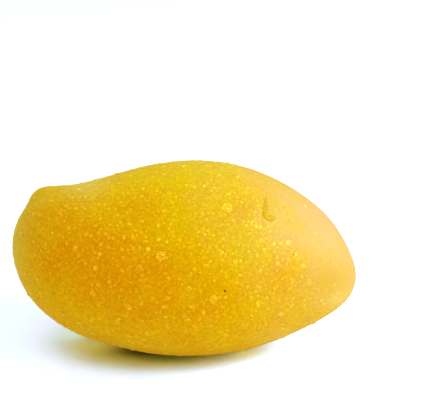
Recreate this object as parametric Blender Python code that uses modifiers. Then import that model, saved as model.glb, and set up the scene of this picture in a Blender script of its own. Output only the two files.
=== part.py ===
"""A ripe yellow mango lying almost on its back edge, with the dry stub of its stalk.

Metres, +Z up. The long axis lies along X with the stem end at +X. The belly edge, which carries the
hump, the dip and the beak, is on top and leans towards +Y. The origin is under the middle of the
fruit's bounding box, on the surface that the fruit rests on.

The skin is one formula over the directions of a unit sphere: a tapered oval about a curved core line,
with a few soft local forms added along their own directions.
"""
import math

import bmesh
import bpy
from mathutils import Matrix, Vector

MM = 0.001

# Driving dimensions, millimetres
HALF_LENGTH = 61.5
EDGE_RADIUS = 34.35
CHEEK_RADIUS = 32.5
FLAT_SPOT_DEPTH = 0.6
LEAN_DEGREES = 18.0

# Series in the place along the fruit, which runs from -1 at the tip to +1 at the stem end
EDGE_TAPER = (1.0, 0.05, -0.06, -0.315)
CHEEK_TAPER = (1.0, 0.03, -0.06, -0.19)
CORE_RISE = (0.0, 1.3, 0.75, -7.2, -2.75)

# Stem end: the direction of the hollow, its size and the stub in it, millimetres
STEM_DIRECTION = Vector((0.975, 0.20, -0.08)).normalized()
HOLLOW_REACH = 0.16
HOLLOW_DEPTH = 1.2
SOCKET_DEPTH = 1.2
STUB_BASE_RADIUS = 2.9
STUB_TOP_RADIUS = 2.3
STUB_HEIGHT = 2.6
STUB_ROUNDING = 0.35
SEAT_GAP = 0.3

# Local forms: direction on the unit sphere, reach on it, height in millimetres
LOCAL_FORMS = {
    "fullness of the tip": (Vector((-0.99, 0.0, 0.10)), 0.35, 0.5),
    "beak": (Vector((-0.815, 0.0, 0.58)), 0.16, 3.1),
    "dip behind the beak": (Vector((-0.62, 0.0, 0.80)), 0.30, -1.8),
    "hump of the belly": (Vector((-0.05, 0.0, 1.0)), 0.26, 0.6),
    "belly shoulder": (Vector((0.80, 0.0, 0.60)), 0.24, 1.1),
    "blunted stem end": (Vector((0.99, 0.0, -0.10)), 0.35, -2.0),
    "stem hollow": (STEM_DIRECTION, HOLLOW_REACH, -HOLLOW_DEPTH),
}

FRUIT_SEGMENTS = 84
FRUIT_RINGS = 42
STUB_SEGMENTS = 24
SHARP_EDGE_DEGREES = 35.0


def series(coefficients, place):
    """Value of a power series at a place along the fruit."""
    return sum(factor * place ** power for power, factor in enumerate(coefficients))


def skin_point(direction):
    """Point of the skin in millimetres for a unit direction: x to the stem, z to the belly edge."""
    along = direction.x
    point = Vector((
        HALF_LENGTH * along,
        CHEEK_RADIUS * series(CHEEK_TAPER, along) * direction.y,
        EDGE_RADIUS * series(EDGE_TAPER, along) * direction.z + series(CORE_RISE, along),
    ))
    for centre, reach, height in LOCAL_FORMS.values():
        centre = centre.normalized()
        distance = (direction - centre).length
        point += centre * height * math.exp(-(distance / reach) ** 2)
    return point


def skin_normal(direction, step=0.01):
    """Outward unit normal of the skin where a unit direction meets it."""
    side = direction.orthogonal().normalized() * step
    other = direction.cross(side)
    across = skin_point((direction + side).normalized()) - skin_point((direction - side).normalized())
    along = skin_point((direction + other).normalized()) - skin_point((direction - other).normalized())
    return across.cross(along).normalized()


def new_collection(name):
    """New collection in the scene."""
    collection = bpy.data.collections.new(name)
    bpy.context.scene.collection.children.link(collection)
    return collection


def new_object(name, mesh_builder, collection, material=None, parent=None):
    """Mesh object whose vertices, built in millimetres, are scaled to metres."""
    bm = bmesh.new()
    mesh_builder(bm)
    bmesh.ops.scale(bm, vec=(MM, MM, MM), verts=bm.verts)
    mesh = bpy.data.meshes.new(name)
    bm.to_mesh(mesh)
    bm.free()
    obj = bpy.data.objects.new(name, mesh)
    collection.objects.link(obj)
    obj.parent = parent
    if material is not None:
        mesh.materials.append(material)
    return obj


def principled(name, colour, roughness):
    """Plain material of one colour."""
    material = bpy.data.materials.new(name)
    material.use_nodes = True
    shader = material.node_tree.nodes["Principled BSDF"]
    shader.inputs["Base Color"].default_value = (*colour, 1.0)
    shader.inputs["Roughness"].default_value = roughness
    shader.inputs["Metallic"].default_value = 0.0
    material.diffuse_color = (*colour, 1.0)
    return material


def seat_frame():
    """Placement of the stub's axis: origin at the floor of the hollow, +Z out of the fruit."""
    normal = skin_normal(STEM_DIRECTION)
    turn = normal.to_track_quat("Z", "Y").to_matrix().to_4x4()
    return Matrix.Translation(skin_point(STEM_DIRECTION)) @ turn


def build_skin(bm):
    """Whole outside of the fruit, with the poles of the sphere at the tip and at the stem end."""
    bmesh.ops.create_uvsphere(bm, u_segments=FRUIT_SEGMENTS, v_segments=FRUIT_RINGS, radius=1.0)
    poles_along_x = Matrix.Rotation(math.radians(90.0), 3, "Y")
    for vert in bm.verts:
        vert.co = skin_point((poles_along_x @ vert.co).normalized())


def build_socket(bm):
    """Cutter for the round seat of the stub, one gap wider and deeper than the stub's root."""
    floor = -SOCKET_DEPTH - SEAT_GAP
    height = STUB_HEIGHT - floor
    bmesh.ops.create_cone(
        bm,
        cap_ends=True,
        segments=STUB_SEGMENTS,
        radius1=STUB_BASE_RADIUS + SEAT_GAP,
        radius2=STUB_BASE_RADIUS + SEAT_GAP,
        depth=height,
        matrix=seat_frame() @ Matrix.Translation((0.0, 0.0, floor + height / 2.0)),
    )


def build_stub(bm):
    """Short woody plug, slightly narrower at its broken end, rooted in the socket."""
    bmesh.ops.create_cone(
        bm,
        cap_ends=True,
        segments=STUB_SEGMENTS,
        radius1=STUB_BASE_RADIUS,
        radius2=STUB_TOP_RADIUS,
        depth=STUB_HEIGHT,
        matrix=seat_frame() @ Matrix.Translation((0.0, 0.0, STUB_HEIGHT / 2.0 - SOCKET_DEPTH)),
    )


def build_floor_block(bm):
    """Cutter whose top face is the surface that the fruit rests on."""
    size = HALF_LENGTH * 4.0
    bmesh.ops.create_cube(bm, size=size, matrix=Matrix.Translation((0.0, 0.0, -size / 2.0)))


def cut(target, cutter):
    """Boolean difference that takes the cutter out of the target."""
    modifier = target.modifiers.new(cutter.name, "BOOLEAN")
    modifier.operation = "DIFFERENCE"
    modifier.solver = "EXACT"
    modifier.object = cutter
    cutter.hide_render = True
    cutter.display_type = "WIRE"


def round_edges(obj, width):
    """Small two-step rounding of an object's sharp edges."""
    bevel = obj.modifiers.new("Rounded edges", "BEVEL")
    bevel.width = width * MM
    bevel.segments = 2
    bevel.limit_method = "ANGLE"
    bevel.angle_limit = math.radians(SHARP_EDGE_DEGREES)


def stand_on_flat_spot(pose, objects):
    """Move the pose so that the cut plane lies FLAT_SPOT_DEPTH up the fruit, under its middle."""
    bpy.context.view_layer.update()
    corners = [obj.matrix_world @ vert.co for obj in objects for vert in obj.data.vertices]
    low = [min(corner[axis] for corner in corners) for axis in range(3)]
    high = [max(corner[axis] for corner in corners) for axis in range(3)]
    pose.location.x -= (low[0] + high[0]) / 2.0
    pose.location.y -= (low[1] + high[1]) / 2.0
    pose.location.z -= low[2] + FLAT_SPOT_DEPTH * MM


def main():
    """Build the fruit and the stub in the pose in which the fruit rests."""
    for obj in list(bpy.data.objects):
        bpy.data.objects.remove(obj, do_unlink=True)
    parts = new_collection("mango")
    cutters = new_collection("cutters")

    pose = bpy.data.objects.new("resting_pose", None)
    parts.objects.link(pose)
    pose.rotation_euler.x = math.radians(-LEAN_DEGREES)

    skin_material = principled("mango_skin", (0.80, 0.42, 0.01), 0.35)
    stalk_material = principled("dried_stalk", (0.09, 0.05, 0.02), 0.85)

    fruit = new_object("fruit", build_skin, parts, skin_material, pose)
    stub = new_object("stem_stub", build_stub, parts, stalk_material, pose)
    stand_on_flat_spot(pose, [fruit, stub])

    cut(fruit, new_object("stub_socket", build_socket, cutters, parent=pose))
    cut(fruit, new_object("resting_surface", build_floor_block, cutters))
    round_edges(stub, STUB_ROUNDING)
    for obj in (fruit, stub):
        obj.data.shade_smooth()
        obj.data.set_sharp_from_angle(angle=math.radians(SHARP_EDGE_DEGREES))


if __name__ == "__main__":
    main()
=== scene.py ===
"""A ripe yellow mango, wet with fine drops of water, on a white studio floor with a painted shadow.

The skin is one rule over the directions of a sphere, built by geometry nodes at a fine pitch. The
drops, the specks and the run of water lie on that skin, and the stub of the stalk sits in its hollow.
"""
import logging
import math
from dataclasses import dataclass
from enum import Enum

import bmesh
import bpy
from bpy.types import Material, Node, NodeSocket, NodeTree, Object
from mathutils import Matrix, Vector


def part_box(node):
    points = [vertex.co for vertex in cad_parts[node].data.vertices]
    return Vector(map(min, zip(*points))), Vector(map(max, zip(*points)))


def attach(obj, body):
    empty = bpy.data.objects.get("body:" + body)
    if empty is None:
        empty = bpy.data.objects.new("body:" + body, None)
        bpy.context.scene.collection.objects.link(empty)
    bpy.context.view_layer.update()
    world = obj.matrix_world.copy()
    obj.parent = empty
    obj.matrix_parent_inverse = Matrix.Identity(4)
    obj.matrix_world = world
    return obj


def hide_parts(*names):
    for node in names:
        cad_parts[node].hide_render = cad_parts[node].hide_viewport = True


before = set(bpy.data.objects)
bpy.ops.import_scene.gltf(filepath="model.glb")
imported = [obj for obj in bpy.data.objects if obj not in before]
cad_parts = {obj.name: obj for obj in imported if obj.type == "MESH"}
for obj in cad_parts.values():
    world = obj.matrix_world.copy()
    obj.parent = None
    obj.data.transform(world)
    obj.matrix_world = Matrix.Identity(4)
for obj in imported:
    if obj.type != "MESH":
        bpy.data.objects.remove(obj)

log = logging.getLogger("mango")

MM = 0.001
PICTURE_WIDTH = 440
PICTURE_HEIGHT = 406
BODY = "root"

# Along the fruit towards the stem end, and up its cheeks towards the leaning belly edge
ALONG = Vector((1.0, 0.0, 0.0))
LEAN = math.radians(18.0)
BELLY_WARD = Vector((0.0, math.sin(LEAN), math.cos(LEAN)))

SOCKET_TYPES = {
    float: "NodeSocketFloat",
    int: "NodeSocketInt",
    tuple: "NodeSocketVector",
    Material: "NodeSocketMaterial",
}

Colour = tuple[float, float, float, float]
Source = Node | NodeSocket


class Slot(Enum):
    """Material slots of the record."""

    SKIN = "skin"
    STALK = "stalk"


def metres(span_mm: tuple[float, float]) -> tuple[float, float]:
    """Both ends of a range in millimetres, in metres."""
    return span_mm[0] * MM, span_mm[1] * MM


def linear(hex_colour: str) -> Colour:
    """Turn an sRGB hex colour into linear values.

    Args:
        hex_colour: Six hex digits with a leading hash.

    Returns:
        Red, green, blue and an alpha of 1.
    """
    channels = [int(hex_colour[i:i + 2], 16) / 255.0 for i in (1, 3, 5)]
    red, green, blue = (
        value / 12.92 if value <= 0.04045 else ((value + 0.055) / 1.055) ** 2.4 for value in channels
    )
    return red, green, blue, 1.0


def fill(node: Node, inputs: dict) -> None:
    """Fill or link the inputs that a node's settings leave in use.

    Args:
        node: Node of a tree.
        inputs: Socket name, or its number among those in use, with a value or the node or socket that
            feeds it. A node feeds it from its first output in use.
    """
    used = [socket for socket in node.inputs if socket.enabled]
    for key, value in inputs.items():
        number = key if isinstance(key, int) else [socket.name for socket in used].index(key)
        if isinstance(value, Node):
            value = next(socket for socket in value.outputs if socket.enabled)
        if isinstance(value, NodeSocket):
            node.id_data.links.new(value, used[number])
        else:
            used[number].default_value = value


def add_node(tree: NodeTree, kind: str, inputs: dict | None = None, **settings: object) -> Node:
    """Add a node with its settings, and fill or link its inputs.

    Args:
        tree: Node tree that gets the node.
        kind: Blender's type name of the node.
        inputs: Inputs as fill takes them.
        settings: Attributes of the node and their values.

    Returns:
        The new node.
    """
    node = tree.nodes.new(kind)
    for name, value in settings.items():
        setattr(node, name, value)
    fill(node, inputs or {})
    return node


def new_material(name: str) -> tuple[Material, NodeTree, Node]:
    """Start a material.

    Args:
        name: Name of the material.

    Returns:
        The material, its node tree and its main shader.
    """
    material = bpy.data.materials.new(name)
    material.use_nodes = True
    return material, material.node_tree, material.node_tree.nodes["Principled BSDF"]


def colour_over(tree: NodeTree, value: Source, span: tuple[float, float],
                stops: list[tuple[float, Colour]]) -> Node:
    """Colour that changes with a value.

    Args:
        tree: Material's node tree.
        value: Value that is looked up.
        span: Values at the two ends of the stops.
        stops: Share of the span and colour of each stop, in rising order.

    Returns:
        Node that gives the colour.
    """
    share = add_node(tree, "ShaderNodeMapRange", {"Value": value, "From Min": span[0], "From Max": span[1]})
    ramp = add_node(tree, "ShaderNodeValToRGB", {"Fac": share})
    elements = ramp.color_ramp.elements
    while len(elements) < len(stops):
        elements.new(0.5)
    for element, (position, colour) in zip(elements, stops):
        element.position = position
        element.color = colour
    return ramp


def soft_oval(tree: NodeTree, place: Source, upright: Vector, middle_mm: tuple[float, float],
              reach_mm: tuple[float, float], tilt: float = 0.0) -> Node:
    """Share of a soft oval patch, which fades outward as a bell curve.

    Args:
        tree: Material's node tree.
        place: Place that the patch is measured in.
        upright: Second direction of the patch, the first being along the fruit.
        middle_mm: Middle of the patch in those two directions.
        reach_mm: Reach of the patch along its two axes.
        tilt: Turn of the patch in radians.

    Returns:
        Node that gives a value from 0 to 1.
    """
    axes = (
        ALONG * math.cos(tilt) + upright * math.sin(tilt),
        upright * math.cos(tilt) - ALONG * math.sin(tilt),
    )
    middle = ALONG * middle_mm[0] + upright * middle_mm[1]
    squares = []
    for axis, reach in zip(axes, reach_mm):
        scaled = axis / (reach * MM)
        start = middle.dot(axis) / reach
        way = add_node(tree, "ShaderNodeVectorMath", {0: place, 1: scaled}, operation="DOT_PRODUCT")
        shifted = add_node(tree, "ShaderNodeMath", {0: way, 1: start}, operation="SUBTRACT")
        squares.append(add_node(tree, "ShaderNodeMath", {0: shifted, 1: 2.0}, operation="POWER"))
    total = add_node(tree, "ShaderNodeMath", {0: squares[0], 1: squares[1]}, operation="ADD")
    fall = add_node(tree, "ShaderNodeMath", {0: total, 1: -1.0}, operation="MULTIPLY")
    return add_node(tree, "ShaderNodeMath", {0: fall}, operation="EXPONENT")


@dataclass(frozen=True)
class Tinge:
    """A soft oval field of another tone, laid over the skin or the floor. Sizes in millimetres."""

    name: str
    colour: str
    middle: tuple[float, float]
    reach: tuple[float, float]
    weight: float


def lay_tinges(tree: NodeTree, colour: Source, place: Source, upright: Vector,
               tinges: tuple[Tinge, ...]) -> Source:
    """Lay soft fields of other tones over a colour, one after another.

    Args:
        tree: Material's node tree.
        colour: Colour so far.
        place: Place that the fields are measured in.
        upright: Second direction of the fields, the first being along the fruit.
        tinges: The fields.

    Returns:
        Source of the new colour.
    """
    for tinge in tinges:
        oval = soft_oval(tree, place, upright, tinge.middle, tinge.reach)
        share = add_node(
            tree, "ShaderNodeMath", {0: oval, 1: tinge.weight}, operation="MULTIPLY", label=tinge.name,
        )
        colour = add_node(tree, "ShaderNodeMix", {
            "Factor": share, "A": colour, "B": linear(tinge.colour),
        }, data_type="RGBA")
    return colour


def new_group(name: str, values: dict[str, object]) -> tuple[NodeTree, dict[str, NodeSocket], Node]:
    """Start a geometry node tree that takes a mesh and named values, and gives geometry.

    Args:
        name: Name of the tree.
        values: Input name and value, whose type settles the type of the socket.

    Returns:
        The tree, the sockets of its inputs by name, and its group output node.
    """
    tree = bpy.data.node_groups.new(name, "GeometryNodeTree")
    tree.interface.new_socket("Mesh", in_out="INPUT", socket_type="NodeSocketGeometry")
    for label, value in values.items():
        tree.interface.new_socket(label, in_out="INPUT", socket_type=SOCKET_TYPES[type(value)])
    tree.interface.new_socket("Geometry", in_out="OUTPUT", socket_type="NodeSocketGeometry")
    given = {socket.name: socket for socket in tree.nodes.new("NodeGroupInput").outputs}
    return tree, given, tree.nodes.new("NodeGroupOutput")


def grow(name: str, mesh: bpy.types.Mesh, tree: NodeTree, values: dict[str, object]) -> Object:
    """Run a geometry node tree on a mesh and keep its result as a plain mesh object.

    Args:
        name: Name of the new object.
        mesh: Mesh that the tree starts from.
        tree: Geometry node tree.
        values: Input name and value, set by the socket's identifier.

    Returns:
        Object at the origin that holds the finished mesh and no modifier.
    """
    obj = bpy.data.objects.new(name, mesh)
    bpy.context.scene.collection.objects.link(obj)
    modifier = obj.modifiers.new(tree.name, "NODES")
    modifier.node_group = tree
    for item in tree.interface.items_tree:
        if item.in_out == "INPUT" and item.name in values:
            modifier[item.identifier] = values[item.name]
    graph = bpy.context.evaluated_depsgraph_get()
    result = bpy.data.meshes.new_from_object(obj.evaluated_get(graph))
    obj.modifiers.clear()
    obj.data = result
    result.name = name
    return obj


def bridge(bm: bmesh.types.BMesh, ring: list, following: list) -> list[bmesh.types.BMFace]:
    """Fill the band between two rings of a form, either of which may be a single pole vertex.

    Args:
        bm: Mesh being built.
        ring: Vertices of the one ring.
        following: Vertices of the next ring.

    Returns:
        Faces of the band, in the order of the ring.
    """
    faces = []
    sides = max(len(ring), len(following))
    for number in range(sides):
        after = (number + 1) % sides
        corners = (
            ring[number % len(ring)], ring[after % len(ring)],
            following[after % len(following)], following[number % len(following)],
        )
        faces.append(bm.faces.new(tuple(dict.fromkeys(corners))))
    return faces


def keep_mesh(name: str, bm: bmesh.types.BMesh, *finishes: Material) -> Object:
    """Turn a mesh that was built point by point into an object at the origin.

    Args:
        name: Name of the new object.
        bm: The mesh, in metres, which is freed.
        finishes: Finishes by the material numbers of the faces.

    Returns:
        Object in the scene.
    """
    mesh = bpy.data.meshes.new(name)
    bm.to_mesh(mesh)
    bm.free()
    for finish in finishes:
        mesh.materials.append(finish)
    obj = bpy.data.objects.new(name, mesh)
    bpy.context.scene.collection.objects.link(obj)
    return obj


def declare(piece: Object, slot: Slot, *nodes: str) -> None:
    """Tie a finished piece to the body, and hide the nodes of the solid model that it stands for.

    Args:
        piece: Finished mesh object.
        slot: Material slot of the record; not used.
        nodes: Nodes of the solid model that the piece replaces.
    """
    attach(piece, BODY)
    if nodes:
        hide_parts(*nodes)
    log.info("%s: %d faces", piece.name, len(piece.data.polygons))


@dataclass(frozen=True)
class MangoSkinFinish:
    """Ripe mango skin: a thin waxy rind, dotted with pale breathing pores. Sizes in millimetres.

    It reads as warm yellow, with an orange blush on each cheek and a pale peach shoulder at the stem
    end, which is partly paler skin and partly a painted highlight of the lamp.
    The speckle and the grain of a real rind are finer than the picture can show, so both are drawn
    about three times as coarse. The pores have their real pitch.
    """

    yellow: str = "#f8dc0c"
    blush: str = "#f7bb03"
    # Pale peach of the stem shoulder: partly paler skin, partly a painted highlight of the lamp
    bloom_and_highlight: str = "#f7d79c"
    pore: str = "#fbe06a"
    middle_height: float = 34.0
    blotch_length: float = 9.0
    blotch_detail: float = 4.0
    blotch_roughness: float = 0.55
    blotch_share: float = 1.05
    blush_middle: tuple[float, float] = (-25.2, 0.0)
    blush_reach: tuple[float, float] = (47.0, 21.0)
    blush_tilt: float = -0.30
    # Where the pale shoulder and its painted highlight rise along the fruit
    bloom_and_highlight_span: tuple[float, float] = (8.0, 52.0)
    bloom_and_highlight_rise: tuple[tuple[float, float], ...] = (
        (0.0, 0.0), (0.20, 0.09), (0.43, 0.19), (0.66, 0.51), (0.88, 0.86), (1.0, 0.9),
    )
    bloom_and_highlight_tilt: float = 0.48
    bloom_and_highlight_sway: float = 42.0
    # Soft fields of tone over the skin: its own colour, and where marked, painted light and shade
    tinges: tuple[Tinge, ...] = (
        # Paler tip, with a painted sheen where its rim turns away
        Tinge("paler tip with painted sheen on its rim", "#f2e25c", (-61.0, 6.0), (7.0, 30.0), 0.8),
        # Painted sheen along the pale edge of the dip behind the beak
        Tinge("painted sheen in the dip", "#f6e478", (-33.5, 27.5), (7.0, 5.0), 0.78),
        Tinge("yellow top beside the shoulder", "#fcd838", (28.0, 29.5), (9.0, 7.0), 0.5),
        Tinge("warm band under the ridge", "#f4a803", (-14.0, 19.5), (11.0, 5.0), 0.3),
        Tinge("warm patch under the hump", "#f4a803", (19.0, 19.0), (7.0, 5.0), 0.25),
        # These two: paler skin round the shoulder, with a painted highlight of the lamp
        Tinge("paler skin and painted highlight below the shoulder", "#f0de88", (24.0, 10.0), (8.0, 8.0), 0.12),
        Tinge("paler skin and painted highlight beside the shoulder", "#f6dc94", (33.0, 16.0), (6.5, 5.0), 0.4),
        Tinge("orange patch of the stem side", "#f4ac08", (34.0, -3.0), (7.0, 7.0), 0.32),
        Tinge("warm patch below the middle", "#f4a803", (14.5, -8.5), (6.0, 6.0), 0.25),
        # Paler skin of the stem side, with a painted highlight of the lamp
        Tinge("pale bloom of the stem side", "#f8e4b4", (47.5, 7.0), (7.0, 5.0), 0.15),
        # Painted shade on the lower back of the stem end, which faces down
        Tinge("painted shade on the lower back of the stem end", "#eec254", (48.0, -8.5), (11.0, 8.0), 0.42),
        Tinge("yellow of the stem end", "#f0d638", (49.5, -5.0), (9.0, 8.0), 0.35),
        # These two: painted reflection of the white floor along the lower rim
        Tinge("painted floor reflection along the back", "#fae890", (34.0, -26.5), (9.0, 4.0), 0.5),
        Tinge("painted floor reflection on the lower stem side", "#fae890", (54.0, -13.5), (6.0, 4.0), 0.8),
    )
    speckle_length: float = 1.1
    speckle_share: float = 0.105
    speckle_range: tuple[float, float] = (0.25, 0.75)
    bloom_and_highlight_smoothing: float = 0.8
    pore_pitch: float = 1.9
    pore_scatter: float = 0.9
    pore_edge: tuple[float, float] = (0.32, 0.10)
    pore_share: float = 0.2
    pore_rise: float = 0.06
    pore_strength: float = 0.5
    grain_length: float = 0.9
    grain_rise: float = 0.12
    grain_strength: float = 0.6
    index_of_refraction: float = 1.42
    roughness: float = 0.42
    gloss: float = 0.25
    wax: float = 0.2
    wax_spread: float = 0.5
    wax_tint: str = "#ffe030"

    def build(self) -> Material:
        """Make the material.

        Returns:
            Skin with its blush, its bloom, its pores and a low waxy gloss.
        """
        material, tree, shader = new_material("waxy_mango_skin")
        place = add_node(tree, "ShaderNodeTexCoord").outputs["Object"]
        colour, bloom_and_highlight = self._ground_colour(tree, place)
        pores = self._pores(tree, place)
        pore_share = add_node(tree, "ShaderNodeMath", {0: pores, 1: self.pore_share}, operation="MULTIPLY")
        dotted = add_node(tree, "ShaderNodeMix", {
            "Factor": pore_share, "A": colour, "B": linear(self.pore),
        }, data_type="RGBA")
        fill(shader, {
            "Base Color": self._speckled(tree, place, dotted, bloom_and_highlight),
            "IOR": self.index_of_refraction,
            "Roughness": self.roughness,
            "Specular IOR Level": self.gloss,
            "Specular Tint": linear(self.yellow),
            "Sheen Weight": self.wax,
            "Sheen Roughness": self.wax_spread,
            "Sheen Tint": linear(self.wax_tint),
            "Normal": self._relief(tree, place, pores),
        })
        return material

    def _ground_colour(self, tree: NodeTree, place: Source) -> tuple[Source, Source]:
        """Colour without pores, laid out by the place along the fruit and the height up its cheeks.

        Args:
            tree: Material's node tree.
            place: Object coordinates.

        Returns:
            Source of the colour, and of the share of the pale shoulder with its painted highlight.
        """
        blotches = add_node(tree, "ShaderNodeTexNoise", {
            "Vector": place,
            "Scale": 1.0 / (self.blotch_length * MM),
            "Detail": self.blotch_detail,
            "Roughness": self.blotch_roughness,
        })
        middle = Vector((0.0, 0.0, self.middle_height)) * MM
        centred = add_node(tree, "ShaderNodeVectorMath", {0: place, 1: middle}, operation="SUBTRACT")
        blush = soft_oval(tree, centred, BELLY_WARD, self.blush_middle, self.blush_reach, self.blush_tilt)
        unsteady = add_node(tree, "ShaderNodeMath", {
            0: blotches, 1: self.blotch_share, 2: -0.5 * self.blotch_share,
        }, operation="MULTIPLY_ADD")
        blushed = add_node(tree, "ShaderNodeMath", {0: blush, 1: unsteady}, operation="ADD", use_clamp=True)
        colour = add_node(tree, "ShaderNodeMix", {
            "Factor": blushed, "A": linear(self.yellow), "B": linear(self.blush),
        }, data_type="RGBA")
        # Pale shoulder towards the stem end: partly paler skin, partly a painted highlight of the lamp
        bloom_and_highlight_way = ALONG * math.cos(self.bloom_and_highlight_tilt) + BELLY_WARD * math.sin(self.bloom_and_highlight_tilt)
        toward = add_node(tree, "ShaderNodeVectorMath", {0: centred, 1: bloom_and_highlight_way}, operation="DOT_PRODUCT")
        wandering = add_node(tree, "ShaderNodeMath", {
            0: blotches, 1: self.bloom_and_highlight_sway * MM, 2: toward,
        }, operation="MULTIPLY_ADD")
        start, end = self.bloom_and_highlight_span
        span = metres((start + self.bloom_and_highlight_sway / 2.0, end + self.bloom_and_highlight_sway / 2.0))
        greys = [(position, (level, level, level, 1.0)) for position, level in self.bloom_and_highlight_rise]
        bloom_and_highlight = colour_over(tree, wandering, span, greys).outputs["Color"]
        with_bloom_and_highlight = add_node(tree, "ShaderNodeMix", {
            "Factor": bloom_and_highlight, "A": colour, "B": linear(self.bloom_and_highlight),
        }, data_type="RGBA")
        return lay_tinges(tree, with_bloom_and_highlight, centred, BELLY_WARD, self.tinges), bloom_and_highlight

    def _speckled(self, tree: NodeTree, place: Source, colour: Source, bloom_and_highlight: Source) -> Node:
        """Colour with its fine speckle, which the pale shoulder and its painted highlight partly hide.

        Args:
            tree: Material's node tree.
            place: Object coordinates.
            colour: Colour so far.
            bloom_and_highlight: Share of the pale shoulder and its painted highlight.

        Returns:
            Node that gives the colour.
        """
        speckle = add_node(tree, "ShaderNodeTexNoise", {
            "Vector": place, "Scale": 1.0 / (self.speckle_length * MM), "Detail": 1.0,
        })
        low, high = self.speckle_range
        centred = add_node(tree, "ShaderNodeMapRange", {
            "Value": speckle, "From Min": low, "From Max": high, "To Min": -1.0, "To Max": 1.0,
        })
        depth = add_node(tree, "ShaderNodeMath", {
            0: bloom_and_highlight, 1: -self.bloom_and_highlight_smoothing * self.speckle_share, 2: self.speckle_share,
        }, operation="MULTIPLY_ADD")
        light = add_node(tree, "ShaderNodeMath", {0: centred, 1: depth, 2: 1.0}, operation="MULTIPLY_ADD")
        return add_node(tree, "ShaderNodeVectorMath", {0: colour, "Scale": light}, operation="SCALE")

    def _pores(self, tree: NodeTree, place: Source) -> Node:
        """Small round dots, one to a cell of the skin.

        Args:
            tree: Material's node tree.
            place: Object coordinates.

        Returns:
            Node that gives 1 in a pore and 0 between pores.
        """
        cells = add_node(tree, "ShaderNodeTexVoronoi", {
            "Vector": place, "Scale": 1.0 / (self.pore_pitch * MM), "Randomness": self.pore_scatter,
        }, feature="F1")
        outer, inner = self.pore_edge
        return add_node(tree, "ShaderNodeMapRange", {
            "Value": cells, "From Min": outer, "From Max": inner,
        }, interpolation_type="SMOOTHSTEP")

    def _relief(self, tree: NodeTree, place: Source, pores: Source) -> Node:
        """Fine grain of the rind and the rise of each pore.

        Args:
            tree: Material's node tree.
            place: Object coordinates.
            pores: Value of 1 in a pore.

        Returns:
            Node that gives the normal.
        """
        grain = add_node(tree, "ShaderNodeTexNoise", {
            "Vector": place, "Scale": 1.0 / (self.grain_length * MM), "Detail": 2.0,
        })
        grained = add_node(tree, "ShaderNodeBump", {
            "Height": grain, "Distance": self.grain_rise * MM, "Strength": self.grain_strength,
        })
        return add_node(tree, "ShaderNodeBump", {
            "Height": pores,
            "Distance": self.pore_rise * MM,
            "Strength": self.pore_strength,
            "Normal": grained,
        })


@dataclass(frozen=True)
class WaterFinish:
    """Clean water in drops: sharp highlights, brighter skin under a drop, a thin shade beside it.

    A drop gathers light under itself and takes it from the skin beside it. So a ray that runs from
    the skin to a lamp gains light where it leaves a drop, and loses more where it enters one first.
    """

    body: str = "#ffffff"
    shine: str = "#ffdc30"
    gathered_light: Colour = (1.17, 1.23, 1.32, 1.0)
    shaded_light: Colour = (0.5, 0.47, 0.45, 1.0)
    index_of_refraction: float = 1.333
    gloss: float = 0.5
    clearness: float = 0.985
    roughness: float = 0.03

    def build(self, name: str) -> Material:
        """Make the material.

        Args:
            name: Name of the material.

        Returns:
            Water that lets the lamps through to the skin, a little milky where drops are very fine.
        """
        material, tree, shader = new_material(name)
        fill(shader, {
            "Base Color": linear(self.body),
            "Specular Tint": linear(self.shine),
            "Specular IOR Level": self.gloss,
            "IOR": self.index_of_refraction,
            "Roughness": self.roughness,
            "Transmission Weight": self.clearness,
        })
        rays = add_node(tree, "ShaderNodeLightPath").outputs
        lighting = add_node(tree, "ShaderNodeMath", {
            0: rays["Is Shadow Ray"], 1: rays["Is Diffuse Ray"],
        }, operation="MAXIMUM")
        leaving = add_node(tree, "ShaderNodeNewGeometry").outputs["Backfacing"]
        passed = add_node(tree, "ShaderNodeMix", {
            "Factor": leaving, "A": self.shaded_light, "B": self.gathered_light,
        }, data_type="RGBA")
        letting = add_node(tree, "ShaderNodeBsdfTransparent", {"Color": passed})
        mixed = add_node(tree, "ShaderNodeMixShader", {0: lighting, 1: shader, 2: letting})
        fill(tree.nodes["Material Output"], {"Surface": mixed})
        return material


@dataclass(frozen=True)
class DryStalkFinish:
    """Dead stalk wood, dried and matt: dull brown, streaked along the fibres. Sizes in millimetres."""

    dark: str = "#48321a"
    pale: str = "#b8925c"
    fibre_width: float = 0.35
    stretch: tuple[float, float, float] = (0.2, 1.0, 1.0)
    streak_range: tuple[float, float] = (0.3, 0.7)
    fibre_rise: float = 0.1
    fibre_strength: float = 0.8
    roughness: float = 0.85

    def build(self, name: str) -> Material:
        """Make the material.

        Args:
            name: Name of the material.

        Returns:
            Matt brown wood with fine streaks.
        """
        material, tree, shader = new_material(name)
        place = add_node(tree, "ShaderNodeTexCoord").outputs["Object"]
        stretched = add_node(tree, "ShaderNodeMapping", {"Vector": place, "Scale": self.stretch})
        streaks = add_node(tree, "ShaderNodeTexNoise", {
            "Vector": stretched, "Scale": 1.0 / (self.fibre_width * MM), "Detail": 3.0,
        })
        low, high = self.streak_range
        share = add_node(tree, "ShaderNodeMapRange", {"Value": streaks, "From Min": low, "From Max": high})
        fill(shader, {
            "Base Color": add_node(tree, "ShaderNodeMix", {
                "Factor": share, "A": linear(self.dark), "B": linear(self.pale),
            }, data_type="RGBA"),
            "Normal": add_node(tree, "ShaderNodeBump", {
                "Height": streaks, "Distance": self.fibre_rise * MM, "Strength": self.fibre_strength,
            }),
            "Roughness": self.roughness,
        })
        return material


@dataclass(frozen=True)
class LocalForm:
    """A soft rise or dip of the skin about one direction from the middle of the fruit."""

    name: str
    direction: tuple[float, float, float]
    reach: float
    height_mm: float


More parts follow.
